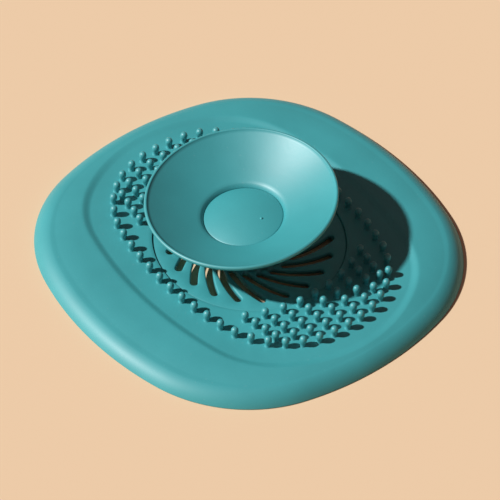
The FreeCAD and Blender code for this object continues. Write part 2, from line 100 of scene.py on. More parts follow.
@dataclass(frozen=True)
class Oval:
    """An oval of eight arcs: two ends on X, two sides on Y and four corners that touch them."""

    half_x: float
    half_y: float
    end_radius: float
    side_radius: float
    corner_radius: float

    def arcs(self) -> list[Arc]:
        """List the arcs of the first quadrant.

        Returns:
            The end arc, the corner arc and the side arc, from +X to +Y.
        """
        end_x = self.half_x - self.end_radius
        side_y = self.half_y - self.side_radius
        end_reach = self.end_radius - self.corner_radius
        side_reach = self.side_radius - self.corner_radius
        span = math.hypot(end_x, side_y)
        along = (end_reach ** 2 - side_reach ** 2 + span ** 2) / (2 * span)
        across = math.sqrt(end_reach ** 2 - along ** 2)
        x = end_x + (across * -side_y - along * end_x) / span
        y = (along * side_y - across * end_x) / span
        end_turn = math.atan2(y, x - end_x)
        side_turn = math.atan2(y - side_y, x)
        return [
            Arc(end_x, 0, self.end_radius, 0, end_turn),
            Arc(x, y, self.corner_radius, end_turn, side_turn),
            Arc(0, side_y, self.side_radius, side_turn, QUARTER),
        ]

    def reach(self, turn: float, inset: float = 0) -> float:
        """Measure from the origin to the oval along a heading.

        Args:
            turn: The heading, from +X towards +Y.
            inset: How far the oval is drawn in on all sides.

        Returns:
            The distance, in millimetres.
        """
        along_x, along_y = abs(math.cos(turn)), abs(math.sin(turn))
        reach = 0.0
        for arc in self.arcs():
            near = along_x * arc.x + along_y * arc.y
            radius = arc.radius - inset
            reach = near + math.sqrt(near ** 2 - arc.x ** 2 - arc.y ** 2 + radius ** 2)
            heading = math.atan2(along_y * reach - arc.y, along_x * reach - arc.x)
            if arc.start - SAME_HEADING <= heading <= arc.end + SAME_HEADING:
                break
        return reach

    def walk(self, count: int) -> list[Corner]:
        """Space places evenly along the oval, counter-clockwise from +X.

        Args:
            count: How many places.

        Returns:
            The places, in millimetres.
        """
        arcs = self.arcs()
        quarter = sum(arc.radius * (arc.end - arc.start) for arc in arcs)
        places = []
        for index in range(count):
            side, left = divmod(4 * quarter * index / count, quarter)
            turned = int(side) % 2 == 1
            x, y = self._along(arcs, quarter - left if turned else left)
            places.append((x if side in (0, 3) else -x, y if side in (0, 1) else -y))
        return places

    @staticmethod
    def _along(arcs: Sequence[Arc], left: float) -> Corner:
        """Find the place at a distance along the first quadrant's arcs.

        Args:
            arcs: The arcs, in order.
            left: The distance from +X.

        Returns:
            The place, in millimetres.
        """
        for arc in arcs:
            length = arc.radius * (arc.end - arc.start)
            turn = arc.start + left / arc.radius
            if left <= length or arc is arcs[-1]:
                break
            left -= length
        return arc.x + arc.radius * math.cos(turn), arc.y + arc.radius * math.sin(turn)


def bowed(start: Corner, end: Corner, bow: float, steps: int) -> list[Corner]:
    """Place corners along an arc between two points of a profile.

    Args:
        start: Where the arc starts.
        end: Where it ends.
        bow: How far its middle lies to the right of the straight line.
        steps: How many parts it is divided into.

    Returns:
        The corners, both ends included.
    """
    chord = Vector((end[0] - start[0], end[1] - start[1]))
    side = Vector((chord.y, -chord.x)).normalized()
    half = chord.length / 2
    radius = (half ** 2 + bow ** 2) / (2 * bow)
    spread = math.asin(half / abs(radius))
    middle = (Vector(start) + Vector(end)) / 2 - side * (radius - bow)
    corners = []
    for step in range(steps + 1):
        turn = spread * (2 * step / steps - 1)
        place = middle + side * radius * math.cos(turn) + chord.normalized() * abs(radius) * math.sin(turn)
        corners.append((place.x, place.y))
    return corners


# Modelling

class Bench:
    """Blender's modelling operators, used as by hand."""

    @staticmethod
    def clear() -> None:
        """Leave nothing selected."""
        bpy.ops.object.select_all(action="DESELECT")

    @staticmethod
    def only(*pieces: bpy.types.Object) -> None:
        """Select some pieces alone and make the first one active.

        Args:
            pieces: The pieces.
        """
        Bench.clear()
        for piece in pieces:
            piece.select_set(True)
        bpy.context.view_layer.objects.active = pieces[0]

    @staticmethod
    def ring(name: str, sides: int, radius: float, level: float) -> bpy.types.Object:
        """Start a piece from a ring and leave it in edit mode.

        Args:
            name: The piece's name.
            sides: How many sides the ring has.
            radius: The ring's radius, in millimetres.
            level: Its height, in millimetres.

        Returns:
            The piece.
        """
        Bench.clear()
        bpy.ops.mesh.primitive_circle_add(vertices=sides, radius=radius * MM, location=(0, 0, level * MM))
        piece = bpy.context.object
        piece.name = name
        piece.data.name = name
        bpy.ops.object.transform_apply(location=True, rotation=True, scale=True)
        bpy.ops.object.mode_set(mode="EDIT")
        bpy.ops.mesh.select_all(action="SELECT")
        return piece

    @staticmethod
    def lathe(name: str, profile: Sequence[Corner], sides: int, closed: bool = False) -> bpy.types.Object:
        """Raise a round piece ring by ring along a profile.

        Args:
            name: The piece's name.
            profile: Radius and height of each ring, in millimetres.
            sides: How many sides each ring has.
            closed: Whether the last ring meets the first, instead of both ends closing on the axis.

        Returns:
            The piece, in object mode.
        """
        piece = Bench.ring(name, sides, *profile[0])
        corners = list(profile) + ([profile[0]] if closed else [])
        for (radius, level), (next_radius, next_level) in zip(corners, corners[1:]):
            lift = (0, 0, (next_level - level) * MM)
            bpy.ops.mesh.extrude_region_move(TRANSFORM_OT_translate={"value": lift})
            share = next_radius / radius
            bpy.ops.transform.resize(value=(share, share, 1), center_override=(0, 0, next_level * MM))
        if not closed:
            Bench.close_ends()
        Bench.seal()
        return piece

    @staticmethod
    def close_ends() -> None:
        """Draw each open end of the piece in edit mode together on the axis."""
        bpy.ops.mesh.select_all(action="DESELECT")
        bpy.ops.mesh.select_non_manifold(extend=False, use_wire=False, use_multi_face=False)
        bpy.ops.mesh.extrude_region_move(TRANSFORM_OT_translate={"value": (0, 0, 0)})
        bpy.ops.mesh.merge(type="COLLAPSE")

    @staticmethod
    def loft(name: str, sections: Sequence[Section], sides: int) -> bpy.types.Object:
        """Raise a closed piece ring by ring, each ring fitted to its own outline.

        Args:
            name: The piece's name.
            sections: For each ring, the place in millimetres that it has along a heading.
            sides: How many sides each ring has.

        Returns:
            The piece, in object mode.
        """
        piece = Bench.ring(name, sides, 1.0, 0.0)
        Bench.fit_ring(piece, sections[0])
        for section in list(sections[1:]) + [sections[0]]:
            bpy.ops.mesh.extrude_region_move(TRANSFORM_OT_translate={"value": (0, 0, 0)})
            Bench.fit_ring(piece, section)
        Bench.seal()
        return piece

    @staticmethod
    def fit_ring(piece: bpy.types.Object, section: Section) -> None:
        """Move the selected ring of a piece in edit mode onto an outline.

        Args:
            piece: The piece.
            section: The place in millimetres along a heading.
        """
        mesh = bmesh.from_edit_mesh(piece.data)
        for corner in mesh.verts:
            if corner.select:
                corner.co = section(math.atan2(corner.co.y, corner.co.x)) * MM
        bmesh.update_edit_mesh(piece.data)

    @staticmethod
    def seal() -> None:
        """Merge what meets, turn all faces outwards and leave edit mode."""
        bpy.ops.mesh.select_all(action="SELECT")
        bpy.ops.mesh.remove_doubles(threshold=SAME_PLACE)
        bpy.ops.mesh.normals_make_consistent(inside=False)
        bpy.ops.object.mode_set(mode="OBJECT")

    @staticmethod
    def smooth(piece: bpy.types.Object, angle: float) -> None:
        """Shade a piece smooth where its faces meet at less than an angle in degrees."""
        Bench.only(piece)
        bpy.ops.object.shade_smooth_by_angle(angle=math.radians(angle))

    @staticmethod
    def copy(source: bpy.types.Object, name: str) -> bpy.types.Object:
        """Copy an object with a mesh of its own.

        Args:
            source: What is copied.
            name: The copy's name.

        Returns:
            The copy, which has no parent.
        """
        twin = source.copy()
        twin.data = source.data.copy()
        twin.name = name
        twin.data.name = name
        twin.parent = None
        for key in list(twin.keys()):
            del twin[key]
        bpy.context.scene.collection.objects.link(twin)
        return twin

    @staticmethod
    def join(pieces: Sequence[bpy.types.Object], name: str) -> bpy.types.Object:
        """Join pieces into one whose place is in its mesh.

        Args:
            pieces: The pieces.
            name: The joined piece's name.

        Returns:
            The joined piece.
        """
        Bench.only(*pieces)
        bpy.ops.object.transform_apply(location=True, rotation=True, scale=True)
        bpy.ops.object.join()
        joined = bpy.context.object
        joined.name = name
        joined.data.name = name
        return joined


# Finishes

Value = Union["Socket", float, tuple]

# The Mix node's two colour inputs and its colour output
MIX_FIRST = 6
MIX_SECOND = 7
MIX_COLOUR = 2


class Socket:
    """A node's output that takes part in Python expressions on values."""

    def __init__(self, tree: "ShaderTree", output: bpy.types.NodeSocket) -> None:
        """Wrap one output of a node."""
        self.tree = tree
        self.output = output

    def _with(self, operation: str, first: Value, second: Value) -> "Socket":
        """Add a Math node for one operation on two values."""
        return self.tree.node("ShaderNodeMath", {"operation": operation}, {0: first, 1: second})

    def __add__(self, other: Value) -> "Socket":
        """Add."""
        return self._with("ADD", self, other)

    __radd__ = __add__

    def __mul__(self, other: Value) -> "Socket":
        """Multiply."""
        return self._with("MULTIPLY", self, other)

    __rmul__ = __mul__


class ShaderTree:
    """The nodes of a material or of the world."""

    def __init__(self, owner: Union[bpy.types.Material, bpy.types.World]) -> None:
        """Start with no nodes.

        Args:
            owner: The material or the world that the nodes belong to.
        """
        owner.use_nodes = True
        self.tree = owner.node_tree
        self.tree.nodes.clear()

    def node(
        self,
        kind: str,
        settings: Optional[dict[str, object]] = None,
        inputs: Optional[dict[Union[str, int], Value]] = None,
        output: Union[str, int] = 0,
    ) -> Socket:
        """Add one node.

        Args:
            kind: The node's type.
            settings: Its own settings, set first; stops are a ramp's positions and colours.
            inputs: A value or a link for each of its sockets.
            output: The output that is handed back.

        Returns:
            The chosen output.
        """
        made = self.tree.nodes.new(kind)
        for key, setting in (settings or {}).items():
            if key == "stops":
                for element, (position, colour) in zip(made.color_ramp.elements, setting):
                    element.position = position
                    element.color = (*colour, 1)
            else:
                setattr(made, key, setting)
        for key, value in (inputs or {}).items():
            if isinstance(value, Socket):
                self.tree.links.new(value.output, made.inputs[key])
            else:
                made.inputs[key].default_value = value
        return Socket(self, made.outputs[output]) if made.outputs else Socket(self, None)

    def noise(self, place: Socket, scale: float, detail: float = 2.0) -> Socket:
        """Add a noise pattern that varies about one half.

        Args:
            place: The coordinates that it follows.
            scale: Its waves to the metre.
            detail: How many finer layers it has.

        Returns:
            The pattern's value.
        """
        inputs = {"Vector": place, "Scale": scale, "Detail": detail}
        return self.node("ShaderNodeTexNoise", None, inputs, "Fac")


@dataclass(frozen=True)
class RubberFinish:
    """A moulded rubber with a satin skin.

    The colour drifts a little over the piece, fine grain breaks up the gloss, and sparse pale specks are
    the lint that soft rubber picks up.
    """

    name: str
    colour: Colour = (0.043, 0.336, 0.362)
    deep_share: float = 0.93
    pale_share: float = 1.07
    roughness: float = 0.56
    roughness_spread: float = 0.12
    cloud_scale: float = 45.0
    cloud_detail: float = 3.0
    cloud_share: float = 0.7
    drift_span: tuple[float, float] = (0.3, 0.7)
    grain_scale: float = 2600.0
    grain_height: float = 0.006
    swell_scale: float = 140.0
    swell_height: float = 0.02
    speck_scale: float = 900.0
    speck_span: tuple[float, float] = (0.8, 0.86)
    speck_share: float = 0.03
    speck_colour: Colour = (0.8, 0.84, 0.82)
    specular: float = 0.65
    coat: float = 0.18
    coat_roughness: float = 0.42

    def tint(self, share: float) -> Colour:
        """Scale the colour by a share."""
        red, green, blue = (min(1.0, channel * share) for channel in self.colour)
        return red, green, blue

    def material(self) -> bpy.types.Material:
        """Build the material.

        Returns:
            The material.
        """
        made = bpy.data.materials.new(self.name)
        tree = ShaderTree(made)
        place = tree.node("ShaderNodeTexCoord", None, None, "Object")
        cloud = tree.noise(place, self.cloud_scale, self.cloud_detail)
        grain = tree.noise(place, self.grain_scale)
        swell = tree.noise(place, self.swell_scale)
        drift = cloud * self.cloud_share + grain * (1 - self.cloud_share)
        tints = (self.tint(self.deep_share), self.tint(self.pale_share))
        stops = tuple(zip(self.drift_span, tints))
        base = tree.node("ShaderNodeValToRGB", {"stops": stops}, {"Fac": drift})
        specks = tree.noise(place, self.speck_scale, 0.0)
        lint = tree.node(
            "ShaderNodeMapRange",
            {"clamp": True},
            {"Value": specks, "From Min": self.speck_span[0], "From Max": self.speck_span[1]},
        )
        dusted = tree.node(
            "ShaderNodeMix",
            {"data_type": "RGBA"},
            {"Factor": lint * self.speck_share, MIX_FIRST: base, MIX_SECOND: (*self.speck_colour, 1.0)},
            MIX_COLOUR,
        )
        rough = cloud * self.roughness_spread + grain * self.roughness_spread
        height = grain * (self.grain_height * MM) + swell * (self.swell_height * MM)
        bump = tree.node(
            "ShaderNodeBump",
            None,
            {"Height": height, "Strength": 1.0, "Distance": 1.0},
            "Normal",
        )
        shader = tree.node(
            "ShaderNodeBsdfPrincipled",
            None,
            {
                "Base Color": dusted,
                "Roughness": rough + (self.roughness - self.roughness_spread),
                "Specular IOR Level": self.specular,
                "Coat Weight": self.coat,
                "Coat Roughness": self.coat_roughness,
                "Normal": bump,
            },
        )
        tree.node("ShaderNodeOutputMaterial", None, {"Surface": shader})
        return made


@dataclass(frozen=True)
class FloorFinish:
    """Plain pale board under the object."""

    name: str = "pale_floor"
    colour: Colour = (0.813, 0.604, 0.398)
    roughness: float = 0.9

    def material(self) -> bpy.types.Material:
        """Build the material.

        Returns:
            The material.
        """
        made = bpy.data.materials.new(self.name)
        tree = ShaderTree(made)
        shader = tree.node(
            "ShaderNodeBsdfPrincipled",
            None,
            {"Base Color": (*self.colour, 1.0), "Roughness": self.roughness, "Specular IOR Level": 0.0},
        )
        tree.node("ShaderNodeOutputMaterial", None, {"Surface": shader})
        return made


def dress(piece: bpy.types.Object, finish: RubberFinish, body: Body, slot: Slot, *nodes: str) -> None:
    """Give a piece its finish and body, and let it stand for its CAD nodes.

    Args:
        piece: The piece.
        finish: Its finish.
        body: The body that it moves with.
        slot: The record's material slot; it is not used.
        nodes: The CAD nodes that it replaces.
    """
    piece.data.materials.clear()
    piece.data.materials.append(finish.material())
    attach(piece, body.value)
    if nodes:
        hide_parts(*nodes)
    LOG.info("%s: %d faces", piece.name, len(piece.data.polygons))


# The plate's radius and the levels above the ground, in millimetres

RIM_TOP = 6.0
FLOOR_TOP = 5.1
FLOOR_UNDERSIDE = 2.9
PLATE_UNDERSIDE = 2.3
LEDGE_UNDERSIDE = 1.0
PLATE_RADIUS = 36.8


# Mat

@dataclass
class DrainMat:
    """The mat: a pillow-edged slab with a soft oval recess, a hollow underside and the plate's ledge.

    The bends are shares of the foot's and the seat's rounding.
    """

    outline: Oval = Oval(76.5, 76.5, 125.7, 125.7, 55.7)
    recess: Oval = Oval(68.1, 52.8, 59.4, 147.0, 35.9)
    foot: float = 0.2
    foot_round: float = 0.15
    foot_bend: Corner = (0.25, 0.3)
    edge_radius: float = 9.3
    edge_angle: float = 62.0
    edge_crowding: float = 1.5
    crown_rise: float = 0.8661
    round_width: float = 17.0
    slope_width: float = 3.6
    crown_slope: float = 0.03
    seat_radius: float = PLATE_RADIUS + 0.1
    seat_margin: float = 1.5
    seat_round: float = 0.25
    seat_bend: float = 0.3
    drain_radius: float = PLATE_RADIUS - 3.5
    collar_radius: float = PLATE_RADIUS + 4.0
    land_width: float = 9.0
    edge_rings: int = 12
    top_rings: int = 14
    step_rings: int = 10
    sides: int = 288
    crease: float = 40.0
    finish: RubberFinish = RubberFinish("mat_satin_rubber")

    def rim_level(self, inset: float) -> float:
        """Work out the pillow rim's height at an inset from the outline.

        Args:
            inset: The inset, in millimetres.

        Returns:
            The height, in millimetres.
        """
        middle, drop = self.edge_middle()
        crown = self.crown_radius()
        if inset <= self.edge_end():
            level = self.foot - drop + math.sqrt(self.edge_radius ** 2 - (middle - inset) ** 2)
        elif inset < self.round_width:
            level = RIM_TOP - crown + math.sqrt(crown ** 2 - (self.round_width - inset) ** 2)
        else:
            level = RIM_TOP
        return level

    def edge_middle(self) -> Corner:
        """The edge arc's centre: its inset from the outline and its drop below the foot's top."""
        tilt = math.radians(self.edge_angle)
        return self.edge_radius * math.sin(tilt), self.edge_radius * math.cos(tilt)

    def crown_radius(self) -> float:
        """Work out the wide arc that crowns the rim and touches the edge arc.

        Returns:
            The arc's radius, in millimetres.
        """
        reach = self.round_width - self.edge_middle()[0]
        rise = self.edge_radius + self.crown_rise
        return (reach ** 2 + rise ** 2 - self.edge_radius ** 2) / (2 * self.crown_rise)

    def edge_end(self) -> float:
        """Work out where the edge arc passes into the crown.

        Returns:
            The inset from the outline, in millimetres.
        """
        middle = self.edge_middle()[0]
        rise = self.crown_radius() - self.edge_radius - self.crown_rise
        turn = math.atan2(rise, self.round_width - middle)
        return middle - self.edge_radius * math.cos(turn)

    def on_outline(self, inset: float, level: float) -> Section:
        """A ring that follows the mat's outline, drawn in by an inset."""
        return lambda turn: self.place(turn, self.outline.reach(turn, inset), level)

    @staticmethod
    def place(turn: float, reach: float, level: float) -> Vector:
        """A place at a heading, a distance from the axis and a height."""
        return Vector((reach * math.cos(turn), reach * math.sin(turn), level))

    def on_circle(self, radius: float, level: float) -> Section:
        """A round ring about the axis."""
        return lambda turn: self.place(turn, radius, level)

    def on_rim(self, inset: float) -> Section:
        """A ring on the pillow rim at an inset from the outline."""
        return self.on_outline(inset, self.rim_level(inset))

    def on_top(self, share: float) -> Section:
        """Draw a ring on the rim's top.

        Args:
            share: The share of the way in from the rounded edge to the recess.

        Returns:
            The ring.
        """

        def section(turn: float) -> Vector:
            """The ring's place at a heading."""
            outer = self.outline.reach(turn, self.edge_end())
            inner = self.recess.reach(turn)
            reach = outer + (inner - outer) * share
            return self.place(turn, reach, self.top_level(turn, reach))

        return section

    def top_level(self, turn: float, reach: float) -> float:
        """Work out the rim's height at a place on its top.

        Args:
            turn: The heading.
            reach: The distance from the axis.

        Returns:
            The height of the pillow, which falls a little outwards from the recess.
        """
        inset = self.outline.reach(turn) - reach
        fall = self.crown_slope * max(0.0, reach - self.recess.reach(turn))
        ease = min(1.0, inset / self.round_width)
        return self.rim_level(inset) - fall * ease

    def on_step(self, share: float) -> Section:
        """Draw a ring on the soft step between the rim's top and the recess's floor.

        Args:
            share: The share of the way in and down.

        Returns:
            The ring.
        """
        drop = share * share * (3 - 2 * share)

        def section(turn: float) -> Vector:
            """The ring's place at a heading."""
            crest = self.recess.reach(turn)
            reach = self.recess.reach(turn, self.slope_width * share)
            top = self.top_level(turn, crest)
            return self.place(turn, reach, top + (FLOOR_TOP - top) * drop)

        return section

    def sections(self) -> list[Section]:
        """List the mat's rings from the foot over the top and back along the underside.

        Returns:
            The rings.
        """
        bend_in, bend_up = (self.foot_round * share for share in self.foot_bend)
        bend = self.seat_round * self.seat_bend
        crowded = [(step / self.edge_rings) ** self.edge_crowding for step in range(self.edge_rings + 1)]
        seat_and_collar = (
            (self.seat_radius + self.seat_margin, FLOOR_TOP),
            (self.seat_radius + self.seat_round, FLOOR_TOP),
            (self.seat_radius + bend, FLOOR_TOP - bend),
            (self.seat_radius, FLOOR_TOP - self.seat_round),
            (self.seat_radius, PLATE_UNDERSIDE),
            (self.drain_radius, PLATE_UNDERSIDE),
            (self.drain_radius, LEDGE_UNDERSIDE),
            (self.collar_radius, LEDGE_UNDERSIDE),
            (self.collar_radius, FLOOR_UNDERSIDE),
        )
        rings = [self.on_outline(self.foot_round, 0.0), self.on_outline(bend_in, bend_up)]
        rings += [self.on_rim(self.edge_end() * share) for share in crowded]
        rings += [self.on_top(step / self.top_rings) for step in range(1, self.top_rings)]
        rings += [self.on_step(step / self.step_rings) for step in range(self.step_rings + 1)]
        rings += [self.on_circle(radius, level) for radius, level in seat_and_collar]
        rings += [
            self.on_outline(self.land_width, FLOOR_UNDERSIDE),
            self.on_outline(self.land_width, self.foot_round),
            self.on_outline(self.land_width - self.foot_round, 0.0),
        ]
        return rings

    def build(self) -> None:
        """Model and dress the mat."""
        piece = Bench.loft("drain_mat", self.sections(), self.sides)
        Bench.smooth(piece, self.crease)
        dress(piece, self.finish, Body.MAT, Slot.MAT, "base_mat")


# Hair pegs

@dataclass
class HairPegs:
    """The pegs: an oval loop and two end fields, each peg a short stalk with an egg-shaped head."""

    loop: Oval = Oval(57.3, 41.1, 84.9, 132.5, 34.2)
    loop_count: int = 50
    rows: int = 9
    columns: int = 4
    row_pitch: float = 7.05
    inner_radius: float = 61.0
    inner_reach: float = PLATE_RADIUS + 1.5
    profile: tuple[Corner, ...] = (
        (1.38, -0.05),
        (1.1, 0.35),
        (1.06, 1.0),
        (1.21, 1.7),
        (1.42, 2.5),
        (1.48, 3.1),
        (1.36, 3.8),
        (1.0, 4.38),
        (0.45, 4.66),
    )
    sides: int = 10
    crease: float = 60.0
    lean_spread: float = 1.5
    seed: int = 7
    finish: RubberFinish = RubberFinish("peg_satin_rubber", roughness=0.52, speck_share=0.0, coat=0.8)

    def field(self, side: int, loop: Sequence[Corner]) -> list[Corner]:
        """Place the pegs of one end field, in rows that run in from the loop's own pegs.

        Args:
            side: 1 for the +X end and -1 for the -X end.
            loop: The loop's places.

        Returns:
            The places, in millimetres.
        """
        first = 0 if side > 0 else self.loop_count // 2
        half = self.rows // 2
        centre = self.inner_reach - self.inner_radius
        places = []
        for row in range(-half, half + 1):
            outer = Vector(loop[(first + side * row) % self.loop_count])
            y = row * self.row_pitch
            inner = Vector((side * (centre + math.sqrt(self.inner_radius ** 2 - y ** 2)), y))
            for column in range(1, self.columns + 1):
                places.append(tuple(outer.lerp(inner, column / self.columns)))
        return places

    def model(self) -> bpy.types.Object:
        """Model one peg at the origin.

        Returns:
            The peg.
        """
        peg = Bench.lathe("peg", self.profile, self.sides)
        Bench.smooth(peg, self.crease)
        return peg

    def group(
        self,
        name: str,
        peg: bpy.types.Object,
        places: Sequence[Corner],
        draw: random.Random,
    ) -> None:
        """Stand copies of the peg at places on the recess's floor, each leaning a little its own way.

        Args:
            name: The CAD node that the group stands for.
            peg: The peg.
            places: Where the copies stand.
            draw: The source of the leans.
        """
        lean = math.radians(self.lean_spread)
        copies = []
        for index, (x, y) in enumerate(places):
            twin = Bench.copy(peg, f"{name}_{index}")
            twin.location = (x * MM, y * MM, FLOOR_TOP * MM)
            lean_x = draw.uniform(-lean, lean)
            lean_y = draw.uniform(-lean, lean)
            twin.rotation_euler = (lean_x, lean_y, draw.uniform(0, TURN))
            copies.append(twin)
        dress(Bench.join(copies, f"{name}_heads"), self.finish, Body.MAT, Slot.PEG, name)

    def build(self) -> None:
        """Model and dress the three groups of pegs."""
        draw = random.Random(self.seed)
        peg = self.model()
        loop = self.loop.walk(self.loop_count)
        self.group("peg_loop", peg, loop, draw)
        self.group("left_peg_field", peg, self.field(-1, loop), draw)
        self.group("right_peg_field", peg, self.field(1, loop), draw)
        bpy.data.objects.remove(peg)


# Strainer plate

@dataclass
class StrainerPlate:
    """The slotted plate, its slots and its rim softly rounded above."""

    top: float = 4.5
    hub_reach: float = 12.0
    shoulder_width: float = 0.2
    shoulder_drop: float = 0.12
    brow_width: float = 0.4
    edge_drop: float = 0.45
    crease: float = 50.0
    finish: RubberFinish = RubberFinish("plate_satin_rubber")

    def on_top(self, place: Vector) -> bool:
        """Tell whether a place lies on the plate's top."""
        return abs(place.z - self.top * MM) < SAME_LEVEL

    def over_wall(self, corner: bmesh.types.BMVert) -> bool:
        """Tell whether an edge goes down from a corner of the top."""
        below = self.top * MM - SAME_LEVEL
        return any(edge.other_vert(corner).co.z < below for edge in corner.link_edges)

    def select_top(self, piece: bpy.types.Object) -> None:
        """Select the plate's top faces alone, in edit mode.

        Args:
            piece: The plate.
        """
        bpy.ops.mesh.select_all(action="DESELECT")
        mesh = bmesh.from_edit_mesh(piece.data)
        for face in mesh.faces:
            face.select = all(self.on_top(corner.co) for corner in face.verts)
        mesh.select_flush_mode()
        bmesh.update_edit_mesh(piece.data)

    def lower_edges(self, piece: bpy.types.Object) -> None:
        """Lower the rings that the insets have left round the selected top, except those at the hub.

        Args:
            piece: The plate.
        """
        mesh = bmesh.from_edit_mesh(piece.data)
        ring = [corner for corner in mesh.verts if self.on_top(corner.co) and not corner.select]
        ring = [corner for corner in ring if corner.co.xy.length > self.hub_reach * MM]
        drops = [self.edge_drop if self.over_wall(corner) else self.shoulder_drop for corner in ring]
        for corner, drop in zip(ring, drops):
            corner.co.z -= drop * MM
        bmesh.update_edit_mesh(piece.data)

    def build(self) -> None:
        """Round the plate's edges and dress it."""
        piece = Bench.copy(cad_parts["strainer_disc"], "slotted_plate")
        Bench.only(piece)
        bpy.ops.object.mode_set(mode="EDIT")
        bpy.ops.mesh.select_all(action="SELECT")
        bpy.ops.mesh.remove_doubles(threshold=SAME_PLACE)
        self.select_top(piece)
        bpy.ops.mesh.inset(thickness=self.shoulder_width * MM)
        bpy.ops.mesh.inset(thickness=self.brow_width * MM)
        self.lower_edges(piece)
        bpy.ops.object.mode_set(mode="OBJECT")
        Bench.smooth(piece, self.crease)
        dress(piece, self.finish, Body.MAT, Slot.PLATE, "strainer_disc")


# Stopper

@dataclass(frozen=True)
class Lean:
    """How the soft cup and its pad stand on the shank: set aside, and tilted at the pad's underside."""

    slope_x: float = 0.067
    slope_y: float = 0.0997
    pivot: float = 15.74
    aside_x: float = -2.14
    aside_y: float = -1.79

    def matrix(self) -> Matrix:
        """Put the tilt and the shift together.

        Returns:
            The matrix that moves an upright piece, in metres.
        """
        normal = Vector((-self.slope_x, -self.slope_y, 1)).normalized()
        turn = Vector((0, 0, 1)).rotation_difference(normal).to_matrix().to_4x4()
        pivot = Vector((0, 0, self.pivot)) * MM
        aside = Vector((self.aside_x, self.aside_y, self.pivot)) * MM
        return Matrix.Translation(aside) @ turn @ Matrix.Translation(-pivot)

    def axis(self) -> Vector:
        """The cup's own axis."""
        return self.matrix().to_3x3() @ Vector((0, 0, 1))

    def apply(self, piece: bpy.types.Object) -> None:
        """Move an upright piece to its leaning place, which goes into its mesh.

        Args:
            piece: The piece.
        """
        Bench.only(piece)
        piece.matrix_world = self.matrix() @ piece.matrix_world
        bpy.ops.object.transform_apply(location=True, rotation=True, scale=True)


@dataclass
class StopperCup:
    """The flexible cup: a thin skirt that bows up to a rounded lip, on a well that holds the press pad.

    The lip's crest, side and bow are shares of its width, and the mouth's bow is a share of its rounding.
    """

    rim_radius: float = 36.6
    rim_level: float = 27.64
    lip: float = 1.2
    lip_crest: float = 0.45
    lip_side: float = 0.75
    lip_bow: float = 0.22
    brow: Corner = (0.05, 0.2)
    brow_bow: float = 0.08
    inner_drop: float = 0.35
    under_edge: Corner = (0.15, 0.3)
    well_radius: float = 15.15
    well_level: float = 17.84
    well_floor: float = 15.74
    web_underside: float = 14.64
    wall: float = 1.8
    bow: float = 0.5
    under_bow: float = 0.6
    mouth_round: float = 1.25
    mouth_drop: float = 1.34
    mouth_slope: float = 0.17
    mouth_bow: float = 0.1
    throat_lap: float = 0.1
    web_bore: float = 2.0
    web_round: float = 0.6
    web_bend: float = 0.18
    lap: float = 0.05
    inside_rings: int = 18
    brow_rings: int = 3
    lip_rings: int = 7
    outside_rings: int = 14
    mouth_rings: int = 6
    sides: int = 160
    skirt_crease: float = 50.0
    well_crease: float = 40.0
    squash_keep: float = 0.56
    lean: Lean = Lean()
    finish: RubberFinish = RubberFinish(
        "cup_satin_rubber",
        colour=(0.034, 0.321, 0.347),
        roughness=0.5,
        swell_height=0.03,
        specular=1.0,
        coat=0.1,
    )

    def skirt_profile(self) -> list[Corner]:
        """List the skirt's section, from the well's edge over the lip and back below.

        Returns:
            The corners of a closed profile.
        """
        edge = self.rim_radius - self.lip
        root = (self.well_radius + self.wall, self.well_level - self.wall / 2)
        brink = (self.well_radius + self.mouth_round, self.well_level + self.mouth_round * self.mouth_slope)
        rise = (edge + self.brow[0], self.rim_level - self.brow[1])
        crest = (edge + self.lip * self.lip_crest, self.rim_level)
        foot = (self.rim_radius, self.rim_level - self.lip * self.lip_side)
        below = (self.rim_radius - self.under_edge[0], self.rim_level - self.lip - self.under_edge[1])
        throat = (self.well_radius, self.well_level - self.mouth_drop)
        inside = bowed(brink, (edge, self.rim_level - self.inner_drop), self.bow, self.inside_rings)
        lip = bowed(rise, crest, -self.brow_bow, self.brow_rings)
        lip += bowed(crest, foot, -self.lip * self.lip_bow, self.lip_rings)[1:]
        outside = bowed(below, root, -self.under_bow, self.outside_rings)
        mouth = bowed(throat, brink, -self.mouth_round * self.mouth_bow, self.mouth_rings)
        return inside + lip + outside + [(throat[0], throat[1] - self.throat_lap)] + mouth[:-1]

    def well_profile(self) -> list[Corner]:
        """List the well's section: its wall and the web that the pad stands on.

        Returns:
            The corners of a closed profile.
        """
        outer = self.well_radius + self.wall
        return [
            (self.web_bore, self.web_underside),
            (outer - self.web_round, self.web_underside),
            (outer - self.web_bend, self.web_underside + self.web_bend),
            (outer, self.web_underside + self.web_round),
            (outer, self.well_level - self.wall / 2 + self.lap),
            (self.well_radius, self.well_level - self.mouth_drop - self.lap),
            (self.well_radius, self.well_floor),
            (self.web_bore, self.well_floor),
        ]

    def build(self) -> None:
        """Model and dress the skirt and the well."""
        skirt = Bench.lathe("cup_skirt", self.skirt_profile(), self.sides, closed=True)
        Bench.smooth(skirt, self.skirt_crease)
        self.lean.apply(skirt)
        dress(skirt, self.finish, Body.STOPPER, Slot.CUP, "stopper_cup")
        root = self.lean.matrix() @ Vector((0, 0, (self.well_level - self.wall / 2) * MM))
        self.lean.axis()
        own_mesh(skirt)
        well = Bench.lathe("cup_well", self.well_profile(), self.sides, closed=True)
        Bench.smooth(well, self.well_crease)
        self.lean.apply(well)
        dress(well, self.finish, Body.STOPPER, Slot.CUP)


